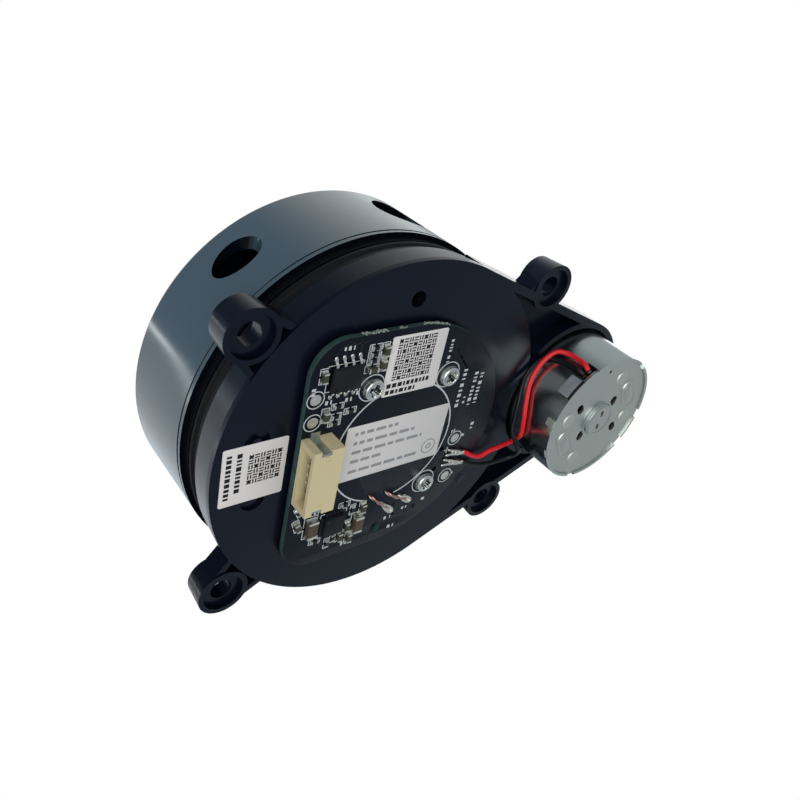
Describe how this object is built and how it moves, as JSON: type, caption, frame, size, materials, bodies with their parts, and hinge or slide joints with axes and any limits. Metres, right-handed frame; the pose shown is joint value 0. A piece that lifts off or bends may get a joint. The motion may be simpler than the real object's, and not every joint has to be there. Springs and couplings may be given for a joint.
{
  "type": "lidar scanner module",
  "caption": "Spinning laser distance scanner: round turret with two optical windows, belt-driven from a flat motor on a teardrop base with fastening ears and an underside control board.",
  "frame": {"origin": "on the turret's spin axis, in the plane of the base's underside, where the ears rest", "axes": "+Z along the spin axis from the base towards the turret; +X from the spin axis towards the motor; the socket's mouth faces -X"},
  "size_m": [0.0825, 0.059, 0.0362],
  "materials": {
    "housing_plastic": "fine satin black moulding",
    "turret_plastic": "smooth grey-black",
    "inner_plastic": "matt black",
    "board_mask": "black solder mask over glass fibre",
    "sensor_mask": "green solder mask",
    "screw_steel": "bright plated",
    "motor_steel": "satin plated sheet",
    "socket_plastic": "natural cream nylon",
    "contact_metal": "tinned",
    "solder": "tinned",
    "chip_black": "epoxy",
    "resistor_black": "dark glaze",
    "capacitor_tan": "tan",
    "label_paper": "white",
    "magnet": "sintered ferrite",
    "bronze": "sintered bronze",
    "copper": "enamelled copper",
    "wire_red": "soft insulation",
    "wire_black": "soft insulation",
    "belt_rubber": "round belt",
    "race_steel": "ground",
    "lens_glass": "coated",
    "filter_glass": "coated",
    "lamination": "stamped",
    "pulley_plastic": "acetal"
  },
  "bodies": {
    "base": {"base_housing": "housing_plastic", "control_board": "board_mask", "board_screws": "screw_steel", "plug_socket": "socket_plastic", "socket_pins": "contact_metal", "socket_solder_tabs": "solder", "driver_chip": "chip_black", "driver_chip_leads": "solder", "controller_chip": "chip_black", "chip_resistors": "resistor_black", "chip_capacitors": "capacitor_tan", "filter_capacitors": "capacitor_tan", "test_pads": "solder", "base_label": "label_paper", "board_label": "label_paper", "rating_label": "label_paper", "motor_can": "motor_steel", "motor_end_cap": "motor_steel", "motor_magnets": "magnet", "motor_bushings": "bronze", "motor_brushes": "bronze", "motor_terminal_block": "inner_plastic", "motor_terminals": "contact_metal", "motor_mount_screws": "screw_steel", "motor_wire_red": "wire_red", "motor_wire_black": "wire_black", "coil_leads": "copper", "solder_joints": "solder", "transmitter_ferrite": "magnet", "transmitter_coil": "copper", "data_receiver": "chip_black", "bearing_inner_race": "race_steel", "drive_belt": "belt_rubber"},
    "turret": {"turret_cover": "turret_plastic", "rotor_base": "inner_plastic", "bearing_outer_race": "race_steel", "receiver_ferrite": "magnet", "receiver_coil": "copper", "data_led": "lens_glass", "sensor_board": "sensor_mask", "sensor_board_chips": "chip_black", "optics_frame": "inner_plastic", "optics_screws": "screw_steel", "laser_barrel": "bronze", "laser_diode": "contact_metal", "laser_lens": "lens_glass", "lens_barrel": "inner_plastic", "camera_lens": "lens_glass", "ir_filter": "filter_glass", "image_sensor": "chip_black", "camera_board": "sensor_mask", "turret_screws": "screw_steel"},
    "ball_cage": {"bearing_cage": "bronze", "bearing_balls": "race_steel"},
    "motor_rotor": {"motor_shaft": "screw_steel", "motor_pulley": "pulley_plastic", "armature_core": "lamination", "armature_windings": "copper", "commutator": "copper"}
  },
  "joints": [
    {"name": "turret_spin", "type": "hinge", "parent": "base", "child": "turret", "pos_m": [0, 0, 0.007], "axis": [0, 0, 1], "continuous": true},
    {"name": "cage_spin", "type": "hinge", "parent": "base", "child": "ball_cage", "pos_m": [0, 0, 0.007], "axis": [0, 0, 1], "continuous": true},
    {"name": "motor_spin", "type": "hinge", "parent": "base", "child": "motor_rotor", "pos_m": [0.0391, 0, 0.007], "axis": [0, 0, 1], "continuous": true}
  ],
  "couplings": [
    {"joint": "cage_spin", "follows": "turret_spin", "ratio": 0.5506},
    {"joint": "motor_spin", "follows": "turret_spin", "ratio": 5.58}
  ]
}
